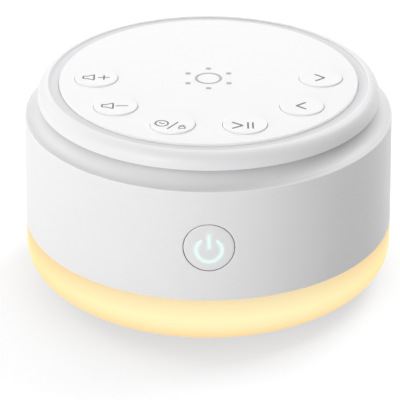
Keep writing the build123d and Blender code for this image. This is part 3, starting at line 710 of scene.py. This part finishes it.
def shell_mesh():
    """Turned wall and deck without the faces in two windows, the bores that fill them, and posts.

    A window is a patch of the grid, in front and behind, between two rows and two columns.
    """
    faces = quads(len(shell_shape), around_steps, False, True)
    row = np.arange(len(faces))[:, None]
    from_front = (np.arange(around_steps)[None, :] + window_columns) % around_steps
    from_back = (from_front + around_steps // 2) % around_steps
    in_columns = (from_front < 2 * window_columns) | (from_back < 2 * window_columns)
    in_rows = (row >= outer_rows[0]) & (row < outer_rows[-1])
    in_rows |= (row >= inner_rows[-1]) & (row < inner_rows[0])
    points = [revolved(shell_shape, around_steps)]
    kept = [faces[~(in_rows & in_columns)]]
    usb_half = (usb_high.x - usb_low.x - usb_high.z + usb_low.z) / 2
    usb_r = (usb_high.z - usb_low.z) / 2 + usb_gap
    parts = [(skin, quads(*skin.shape[:2], False, True)) for skin in
             (bore(1, power_z, 0, power_hole_r), bore(-1, usb_z, usb_half, usb_r))]
    foot_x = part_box("base_screws")[1].x - screw_head_r
    foot_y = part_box("base_screws")[1].y - screw_head_r
    for across, along in ((1, 1), (-1, 1), (-1, -1), (1, -1)):
        foot = (across * foot_x, along * foot_y)
        parts.append(post(foot, foot_post_r, foot_post_z, *foot_post_bore))
        corner = (across * board_post_x, along * board_post_y)
        parts.append(post(corner, board_post_r, board_post_z, *board_post_bore))
    for skin, skin_faces in parts:
        kept.append(skin_faces.reshape(-1, 4) + sum(each.size // 3 for each in points))
        points.append(skin)
    all_points = np.concatenate([each.reshape(-1, 3) for each in points])
    return all_points, np.concatenate([each.reshape(-1, 4) for each in kept])


def satin_wall(place):
    """White satin with painted shade deep under the collar, and grey painted shade in the gap round
    the power key.

    The painted shade grows with a power of the height over the wall's edge, and a painted highlight
    lies along the edge, paler the nearer a place is to its middle.
    """
    side, up = place.part(0), place.part(2) - power_z
    from_key = (side * side + up * up) ** 0.5
    in_front = place.part(1).math("LESS_THAN", 0.0)
    # Painted shade: grey on the walls of the gap round the power key.
    in_gap = from_key.math("LESS_THAN", power_hole_r + gap_shade_margin) * in_front
    grain = place.noise(satin_grain)
    flow = place.noise(melt_waves)
    white = flow.mix(tone(240, 240, 241), tone(243, 243, 244))
    # Painted shade: the white greys towards the neck, deep under the collar.
    into_cove = (place.part(2) - edge_z) / (seat_z - edge_z)
    painted_shade_under_collar = into_cove.math("MAXIMUM", 0.0) ** painted_shade_fall
    # Painted highlight: a paler band along the wall's rounded edge.
    painted_edge_highlight = 1 - abs(place.part(2) - edge_z + edge_highlight_drop) / edge_highlight_w
    white_with_painted_light = painted_edge_highlight.mix(painted_shade_under_collar.mix(white, tone(165, 165, 167)), tone(252, 252, 252))
    return {
        "Base Color": in_gap.mix(white_with_painted_light, gap_shade_grey),
        "Roughness": 0.42 + (flow - 0.5) * wave_gloss + (grain - 0.5) * grain_gloss,
        "Normal": grain.relief(0.005 * MM),
    }


satin = finish("satin_white", {"Specular IOR Level": 0.3}, satin_wall)
shell = piece("drum_shell", *shell_mesh(), satin, "housing", "body_shell")


# ---- Charging socket ----
# Folded steel shell with a black tongue, plated like the screws, and soldered to the tab of the
# main board behind the wall's slot.
dress(zinc, "usb_socket")


# ---- Power key ----
# Round cap in the body's plastic, held behind the wall by its flange, whose face follows the
# wall. A clear power sign is moulded in, and shines pale mint when the machine is on.
power_r = 6.5 * MM
power_round = 0.25 * MM
power_skin = 2.4 * MM
sign_drop = 0.6 * MM
sign_r = 3.3 * MM
sign_stroke = 0.8 * MM
sign_gap = 80.0
sign_bar = (0.7 * MM, 4.1 * MM)
sign_rise = 0.04 * MM
gap_shade_skin = 0.02 * MM
leak_reach = 0.56 * MM
leak_fall = 4
gap_start = 0.82
gap_fade = 0.2
key_steps = 96
face_rows = 10
round_rows = 6
pen_sides = 12


def on_power_face(side, up, above):
    """Place over the power key's face, which follows the wall.

    It is out by the root of the wall's radius squared less the sideways place squared.
    """
    height = power_z + up
    out = np.sqrt(wall_r(height) ** 2 - side**2) + above
    return np.stack(np.broadcast_arrays(side, -out, height), -1)


def power_cap_mesh():
    """Rings from the middle of the face over the rounded rim, down the side and closed behind.

    The rim is a quarter circle: the radius shrinks by the rounding times one minus the sine,
    and the face falls back by the rounding times one minus the cosine.
    """
    face = np.linspace(0, power_r - power_round, face_rows)
    turn = np.linspace(0, np.pi / 2, round_rows)[1:]
    radius = np.concatenate([face, power_r - power_round * (1 - np.sin(turn)), [power_r, 0]])
    depth = np.concatenate([0 * face, power_round * (1 - np.cos(turn)), [power_skin] * 2])
    angle = np.arange(key_steps) * 2 * np.pi / key_steps
    side, up = radius[:, None] * np.cos(angle), radius[:, None] * np.sin(angle)
    faces = quads(len(radius), key_steps, False, True)[..., ::-1]
    return on_power_face(side, up, -depth[:, None]), faces


def stroke(path, width, height, closed=False):
    """Flat tube along a path, as a pen draws it: places along it, across it and above the face.

    A turn round the tube gives the cosine times half the width across and the sine times the
    height up. Both shrink with the cosine of a second angle over the two round ends.
    """
    path = np.asarray(path, float)
    if closed:
        ahead = np.roll(path, -1, 0) - np.roll(path, 1, 0)
        share = np.ones(len(path))
    else:
        cap = np.linspace(-np.pi / 2, 0, round_rows)
        first, last = path[0] - path[1], path[-1] - path[-2]
        reach = -np.sin(cap)[:, None] * width / 2
        start = path[0] + first / np.linalg.norm(first) * reach
        end = path[-1] + last / np.linalg.norm(last) * reach[::-1]
        first, last = np.repeat([-first], round_rows, 0), np.repeat([last], round_rows, 0)
        ahead = np.concatenate([first, path[2:] - path[:-2], last])
        share = np.concatenate([np.cos(cap), np.ones(len(path) - 2), np.cos(cap[::-1])])
        path = np.concatenate([start, path[1:-1], end])
    ahead = ahead / np.linalg.norm(ahead, axis=1, keepdims=True)
    across = np.stack([-ahead[:, 1], ahead[:, 0]], -1)
    angle = np.arange(pen_sides) * 2 * np.pi / pen_sides
    wide = share[:, None] * np.cos(angle) * width / 2
    flat = path[:, None] + across[:, None] * wide[..., None]
    return np.concatenate([flat, (share[:, None] * np.sin(angle) * height)[..., None]], -1), closed


def arc(centre, radius, start, end, steps):
    """Places round a circle between two angles in degrees: its middle plus cosine and sine."""
    angle = np.radians(np.linspace(start, end, steps + 1))
    return np.stack([centre[0] + radius * np.cos(angle), centre[1] + radius * np.sin(angle)], -1)


def print_mesh(strokes, lay):
    """Joins pen strokes into one mesh, each laid on its face by a function of the place."""
    points, faces = [], []
    for places, closed in strokes:
        faces.append(quads(*places.shape[:2], closed, True).reshape(-1, 4) + sum(map(len, points)))
        points.append(lay(*np.moveaxis(places.reshape(-1, 3), -1, 0)))
    return np.concatenate(points), np.concatenate(faces)


def glow_near_sign(place):
    """White satin with the sign's light leaking through beside it, and grey painted shade at its side.

    The leak is one over one plus a power of the distance from the sign, which is the nearer of
    the distances from its broken circle and from its bar.
    """
    side, up = place.part(0), place.part(2) - power_z
    rise = up + sign_drop
    from_circle = abs((side * side + rise * rise) ** 0.5 - sign_r)
    past_bar = abs(rise - sum(sign_bar) / 2) - (sign_bar[1] - sign_bar[0]) / 2
    from_bar = abs(side).math("MAXIMUM", past_bar)
    under_gap = (gap_start * sign_r - rise) / (gap_fade * sign_r)
    in_gap = 1 - under_gap.math("MINIMUM", 1.0).math("MAXIMUM", 0.0)
    from_sign = (from_circle + in_gap * MM).math("MINIMUM", from_bar)
    leak = 1 / (1 + (from_sign / leak_reach) ** leak_fall)
    # Painted shade: grey on the cap's side, in the gap round it.
    shaded_side = ((side * side + up * up) ** 0.5).math("GREATER_THAN", power_r - gap_shade_skin)
    grain = place.noise(satin_grain)
    return {
        "Base Color": shaded_side.mix(tone(240, 240, 241), gap_shade_grey),
        "Emission Color": leak.mix((0, 0, 0, 1), tone(78, 112, 108)),
        "Roughness": 0.4 + grain * 0.05,
        "Normal": grain.relief(0.005 * MM),
    }


def mint_light(place):
    """Pale mint, a touch uneven as the light pipe's face is."""
    core = place.noise(0.8 * MM)
    return {"Emission Color": core.mix(tone(222, 247, 241), tone(232, 249, 246))}


lit_white = {"Emission Strength": 1.0, "Specular IOR Level": 0.3}
cap_white = finish("lit_cap_white", lit_white, glow_near_sign)
power_cap = piece("power_cap", *power_cap_mesh(), cap_white, "power_key", "power_key")

broken_circle = arc((0, -sign_drop), sign_r, 90 + sign_gap / 2, 450 - sign_gap / 2, 64)
bar_low = (0, sign_bar[0] + sign_stroke / 2 - sign_drop)
bar_high = (0, sign_bar[1] - sign_stroke / 2 - sign_drop)
sign_paths = (broken_circle, np.linspace(bar_low, bar_high, 5))
sign_mesh = print_mesh([stroke(path, sign_stroke, sign_rise) for path in sign_paths], on_power_face)
lit_mint = {"Base Color": tone(60, 66, 65), "Emission Strength": 0.95, "Roughness": 0.3}
mint = finish("mint_sign", lit_mint, mint_light)
power_sign = piece("power_sign", *sign_mesh, mint, "power_key", "power_key_lens")


# ---- Collar ----
# Rounded white ring that sits on the neck with its skirt inside it, and holds the panel. A shallow
# moat with a soft bottom runs inside its crest, painted a light grey that painted shade darkens
# towards the panel.
lip_hang = 0.65 * MM
lip_show = 0.28 * MM
lip_gap = 0.15 * MM
belly_rise = 1.1 * MM
shoulder_w = 2.8 * MM
crest_round = 0.3 * MM
moat_w = 2.65 * MM
moat_depth = 0.52 * MM
moat_lift = 0.15 * MM
moat_fillet = (0.21 * MM, 1.1 * MM)
paint_h = 0.35 * MM
paint_under = 0.1 * MM
paint_over = 0.02 * MM
panel_t = 1.5 * MM
panel_gap = 0.05 * MM
shelf_w = 2.75 * MM
shelf_t = 1.3 * MM
skirt_h = 2.0 * MM
skirt_t = 1.6 * MM

collar_lip_z = edge_z + cove_r + lip_show
collar_lip_r = neck_r + lip_hang
crest_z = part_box("top_collar")[1].z
crest_r = collar_lip_r - shoulder_w - crest_round
moat_z = crest_z - moat_depth
recess_r = crest_r - moat_w + panel_gap
shelf_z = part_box("control_panel")[1].z - panel_t
skirt_r = neck_in_r - lip_gap

collar_shape = outline([
    (skirt_r - skirt_t, seat_z - skirt_h),
    (skirt_r, seat_z - skirt_h),
    (skirt_r, seat_z),
    (neck_r + lip_gap, seat_z),
    (neck_r + lip_gap, collar_lip_z),
    (collar_lip_r, collar_lip_z, seam_round),
    (collar_lip_r, crest_z, crest_z - collar_lip_z - belly_rise, shoulder_w),
    (crest_r, crest_z, crest_round),
    (crest_r, moat_z, *moat_fillet),
    (recess_r, moat_z + moat_lift, seam_round),
    (recess_r, shelf_z),
    (recess_r - shelf_w, shelf_z),
    (recess_r - shelf_w, shelf_z - shelf_t),
    (skirt_r - skirt_t, shelf_z - shelf_t),
], steps=16)


def moat_grey_and_shade(place):
    """White satin, with light grey paint in the moat that painted shade darkens towards the panel."""
    out = (place.part(0) ** 2 + place.part(1) ** 2) ** 0.5
    across = (out - recess_r) / (crest_r - recess_r)
    in_moat = out.math("GREATER_THAN", recess_r) * out.math("LESS_THAN", crest_r + paint_over)
    in_moat = in_moat * place.part(2).math("GREATER_THAN", moat_z - paint_under)
    in_moat = in_moat * place.part(2).math("LESS_THAN", moat_z + paint_h)
    grain = place.noise(satin_grain)
    flow = place.noise(melt_waves)
    return {
        # Painted shade: the moat's grey darkens from the crest towards the panel.
        "Base Color": in_moat.mix(flow.mix(tone(242, 242, 243), tone(245, 245, 246)),
                                  across.mix(tone(224, 224, 226), tone(234, 234, 235))),
        "Roughness": 0.38 + (flow - 0.5) * wave_gloss + in_moat * 0.15,
        "Normal": grain.relief(0.004 * MM),
    }


collar_plastic = finish("collar_white", {"Specular IOR Level": 0.3}, moat_grey_and_shade)
collar = turned("collar_ring", collar_shape, around_steps, collar_plastic, "housing", "top_collar")


# ---- Panel ----
# Flat satin plate with six round holes for the keys, held by screws from below. A sun sign is
# printed in grey over the touch spot in its middle: a circle with six dots round it.
panel_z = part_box("control_panel")[1].z
panel_plastic = moulded("panel_white", tone(249, 249, 250), 0.45, 0.25 * MM, 0.003 * MM)
dress(panel_plastic, "control_panel")
print_rise = 0.02 * MM
sun_r = 3.3 * MM
sun_stroke = 0.75 * MM
sun_dot_r = 6.3 * MM
sun_dot = 1.5 * MM


def printed(name, pale, dark):
    """Screen-printed ink, thinner where the mesh of the screen left less of it."""

    def varied(place):
        cover = place.noise(0.25 * MM, 3.0)
        return {"Base Color": cover.mix(pale, dark), "Roughness": 0.5 + cover * 0.2}

    return finish(name, {}, varied)


def dot(middle, width):
    """Round dot as a very short stroke."""
    tip = np.asarray(middle, float)
    step = np.array([0.02 * MM, 0])
    return stroke([tip - step, tip, tip + step], width, print_rise)


def on_panel(side, up, above):
    """Place over the flat panel."""
    return np.stack([side, up, panel_z + above], -1)


sun_strokes = [stroke(arc((0, 0), sun_r, 0, 360, 72)[:-1], sun_stroke, print_rise, closed=True)]
sun_strokes += [dot(place, sun_dot) for place in arc((0, 0), sun_dot_r, 90, 390, 5)]
sun_ink = printed("sun_ink", tone(190, 190, 192), tone(172, 172, 175))
piece("sun_sign", *print_mesh(sun_strokes, on_panel), sun_ink, "housing")


# ---- Key caps ----
# Six round white caps that stand a little proud of the panel, each on its switch and stopped by a
# flange under the panel, with a rounded edge, a face dished by a tenth of a millimetre and its
# sign printed in grey.
key_r = 5.75 * MM
key_round = 0.3 * MM
key_dish = 0.1 * MM
key_skin = 1.4 * MM
key_skirt = 1.1 * MM
key_length = 3.2 * MM
key_flange_w = 0.8 * MM
key_flange_h = (1.95 * MM, 2.75 * MM)
flange_round = 0.1 * MM
stem_r = 1.5 * MM
stem_round = 0.2 * MM
web_round = 0.3 * MM
pen = 0.45 * MM
bold = 0.62 * MM
fine = 0.8 * pen
key_white = moulded("key_white", tone(249, 249, 250), 0.42, 0.25 * MM, 0.003 * MM)
key_ink = printed("key_ink", tone(118, 118, 121), tone(92, 92, 96))


def dish(radius):
    """Depth of the face: its deepest, less that times the square of the way from the middle out."""
    return key_dish * np.maximum(1 - (radius / (key_r - key_round)) ** 2, 0)


def key_shape(top):
    """Section of a hollow cap: stem, skin, skirt with its flange, and the dished face."""
    skirt_in_r = key_r - key_skirt
    flange_r = key_r + key_flange_w
    flange_high, flange_low = [top - drop for drop in key_flange_h]
    face = np.linspace(key_r - key_round, 0, face_rows - 1)[1:]
    return outline([
        (0, top - key_length),
        (stem_r, top - key_length, stem_round),
        (stem_r, top - key_skin, web_round),
        (skirt_in_r, top - key_skin, web_round),
        (skirt_in_r, flange_low),
        (flange_r, flange_low, flange_round),
        (flange_r, flange_high, flange_round),
        (key_r, flange_high),
        (key_r, top, key_round),
        *[(radius, top - dish(radius)) for radius in face],
    ])


def line(*corners, bend=0.15 * MM):
    """Open line through corners in millimetres, each rounded as outline() does it."""
    points = np.array(corners) * MM
    cut = [(*points[0], 0), *[(*point, bend) for point in points[1:-1]], (*points[-1], 0)]
    return outline(cut, steps=5)


def loudspeaker(x, y):
    """Box and horn in one closed line, from the horn's wide end round."""
    shape = [(1.45, 1.7), (1.45, -1.7), (-0.35, -0.75), (-1.45, -0.75), (-1.45, 0.75), (-0.35, 0.75)]
    corners = [((x + u) * MM, (y + v) * MM, 0.2 * MM) for u, v in shape]
    return stroke(outline(corners, steps=5), pen, print_rise, closed=True)


def pen_line(*corners, width=pen):
    """Printed stroke through corners in millimetres."""
    return stroke(line(*corners), width, print_rise)


def padlock(x, y):
    """Body with rounded corners, and a shackle of two short legs and a half circle."""
    body = [(x - 0.8, y), (x - 0.8, y - 1.15), (x + 0.8, y - 1.15), (x + 0.8, y)]
    corners = [(u * MM, v * MM, 0.15 * MM) for u, v in body]
    bow_r = 0.5 * MM
    bow = arc((x * MM, (y + 0.35) * MM), bow_r, 180, 0, 12)
    shackle = np.concatenate([[(x * MM - bow_r, y * MM)], bow, [(x * MM + bow_r, y * MM)]])
    return [
        stroke(outline(corners, steps=4), fine, print_rise, closed=True),
        stroke(shackle, fine, print_rise),
    ]


def clock(x, y):
    """Round face with two hands."""
    rim = arc((x * MM, y * MM), 1.65 * MM, 0, 360, 36)[:-1]
    return [
        stroke(rim, pen, print_rise, closed=True),
        pen_line((x - 0.55, y + 0.4), (x, y - 0.1), (x + 0.6, y - 0.1)),
    ]


# Places in millimetres from the middle of each key.
key_signs = {
    "volume_up": [
        loudspeaker(-2.05, -0.1),
        pen_line((0.7, -0.1), (3.4, -0.1)),
        pen_line((2.05, -1.4), (2.05, 1.2)),
    ],
    "volume_down": [loudspeaker(-2.1, -0.25), pen_line((0.3, -0.25), (3.1, -0.25))],
    "timer": [*clock(-2.8, 0.1), pen_line((-1.3, -3.1), (1.3, 0.75)), *padlock(2.4, -1.9)],
    "play_pause": [
        pen_line((-3.1, 0.6), (-0.6, -1.1), (-3.1, -2.8), width=bold),
        pen_line((0.75, 0.6), (0.75, -2.8)),
        pen_line((2.0, 0.6), (2.0, -2.8)),
    ],
    "previous": [pen_line((0.9, 1.7), (-1.4, -0.2), (0.9, -2.1), width=bold)],
    "next": [pen_line((-1.3, 1.7), (1.0, -0.25), (-1.3, -2.2), width=bold)],
}

for name, strokes in key_signs.items():
    cap_low, cap_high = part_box("key_" + name)
    middle = (cap_low + cap_high) / 2
    top = cap_high.z

    def on_cap(side, up, above):
        """Place over the dished face of this cap."""
        height = top - dish(np.hypot(side, up)) + above
        return np.stack([middle.x + side, middle.y + up, height], -1)

    shape = key_shape(top)
    points = revolved(shape, key_steps, middle[:2])
    faces = quads(len(shape), key_steps, False, True)
    cap = piece("cap_" + name, points, faces, key_white, name + "_key", "key_" + name)
    piece("sign_" + name, *print_mesh(strokes, on_cap), key_ink, name + "_key")


# ---- Floor ----
# Seamless white sheet. It keeps the soft shadow of the machine, and a light of its own that only
# the camera and reflections see makes it paper white. Far off, where the lamps don't reach, that
# light grows to full white.
floor_half = 3.0
floor_z = -0.02 * MM
sheet_near = 0.6
sheet_fade = 1.0
sheet_glow = 0.603
floor_corners = [(-floor_half, -floor_half, floor_z), (floor_half, -floor_half, floor_z),
                 (floor_half, floor_half, floor_z), (-floor_half, floor_half, floor_z)]
floor_mesh = bpy.data.meshes.new("floor")
floor_mesh.from_pydata(floor_corners, [], [(0, 1, 2, 3)])
floor = bpy.data.objects.new("floor", floor_mesh)
bpy.context.scene.collection.objects.link(floor)


def seen_straight(shade):
    """Is 1 for camera, glossy and transmission rays, and 0 for the light that falls on things."""
    return shade.add("LightPath") + shade.add("LightPath", result=3) + shade.add("LightPath", result=6)


def paper(place):
    """Glow that goes evenly from its own level to white with the distance from the machine."""
    away = (place.part(0) ** 2 + place.part(1) ** 2) ** 0.5
    far = ((away - sheet_near) / sheet_fade).math("MAXIMUM", 0.0).math("MINIMUM", 1.0)
    glow = far.mix((sheet_glow, sheet_glow, sheet_glow, 1), (1, 1, 1, 1))
    return {"Emission Color": seen_straight(place).mix((0, 0, 0, 1), glow)}


paper_finish = {
    "Base Color": (0.6, 0.6, 0.6, 1),
    "Roughness": 0.9,
    "Specular IOR Level": 0.0,
    "Emission Strength": 1.0,
}
floor_mesh.materials.append(finish("paper", paper_finish, paper))


# ---- Light ----
# Four square soft boxes of one metre: a strong low one in front on the left, one on the left
# towards the back, one behind, and one high behind on the right. The room is dim, but white where
# the camera or a reflection sees past the floor. The glow of the ring stays off the floor.
machine_middle = Vector((0, 0, 0.03))
box_side = 1.0
room_light = 0.33


def soft_box(name, place, power):
    """Square area lamp at a place, with its power in watts, turned to face the machine."""
    lamp = bpy.data.lights.new(name, "AREA")
    lamp.size = box_side
    lamp.energy = power
    made = bpy.data.objects.new(name, lamp)
    bpy.context.scene.collection.objects.link(made)
    made.location = place
    made.rotation_euler = (machine_middle - made.location).to_track_quat("-Z", "Y").to_euler()


soft_box("front_light", (-0.97, -1.385, 0.178), 23.0)
soft_box("left_light", (-1.275, 0.736, 0.85), 7.3)
soft_box("back_light", (-0.256, 1.45, 0.85), 4.0)
soft_box("right_light", (0.85, 0.85, 1.202), 14.5)

ring_spill = bpy.data.collections.new("out_of_ring_light")
ring_spill.objects.link(floor)
ring_spill.collection_objects[0].light_linking.link_state = "EXCLUDE"
light_ring.light_linking.receiver_collection = ring_spill

world = bpy.data.worlds.new("room")
world.use_nodes = True
backdrop = world.node_tree.nodes["Background"]
backdrop.inputs["Color"].default_value = (1, 1, 1, 1)
past_floor = seen_straight(Shade(world.node_tree)) * (1 - room_light) + room_light
world.node_tree.links.new(past_floor.output, backdrop.inputs["Strength"])
bpy.context.scene.world = world


# ---- Camera ----
# It looks down on the machine from the front, through a long lens and from far enough for nearly
# parallel sides.
pitch = radians(27.66)
camera_aim = Vector((-2.27 * MM, 0.0, 20.04 * MM))
camera_away = 0.6126

camera_data = bpy.data.cameras.new("camera")
camera_data.lens = 200.3
camera_data.sensor_width = 36.0
camera = bpy.data.objects.new("camera", camera_data)
bpy.context.scene.collection.objects.link(camera)
camera.location = camera_aim + camera_away * Vector((0, -cos(pitch), sin(pitch)))
camera.rotation_euler = (camera_aim - camera.location).to_track_quat("-Z", "Y").to_euler()
bpy.context.scene.camera = camera
bpy.context.scene.view_settings.view_transform = "Standard"
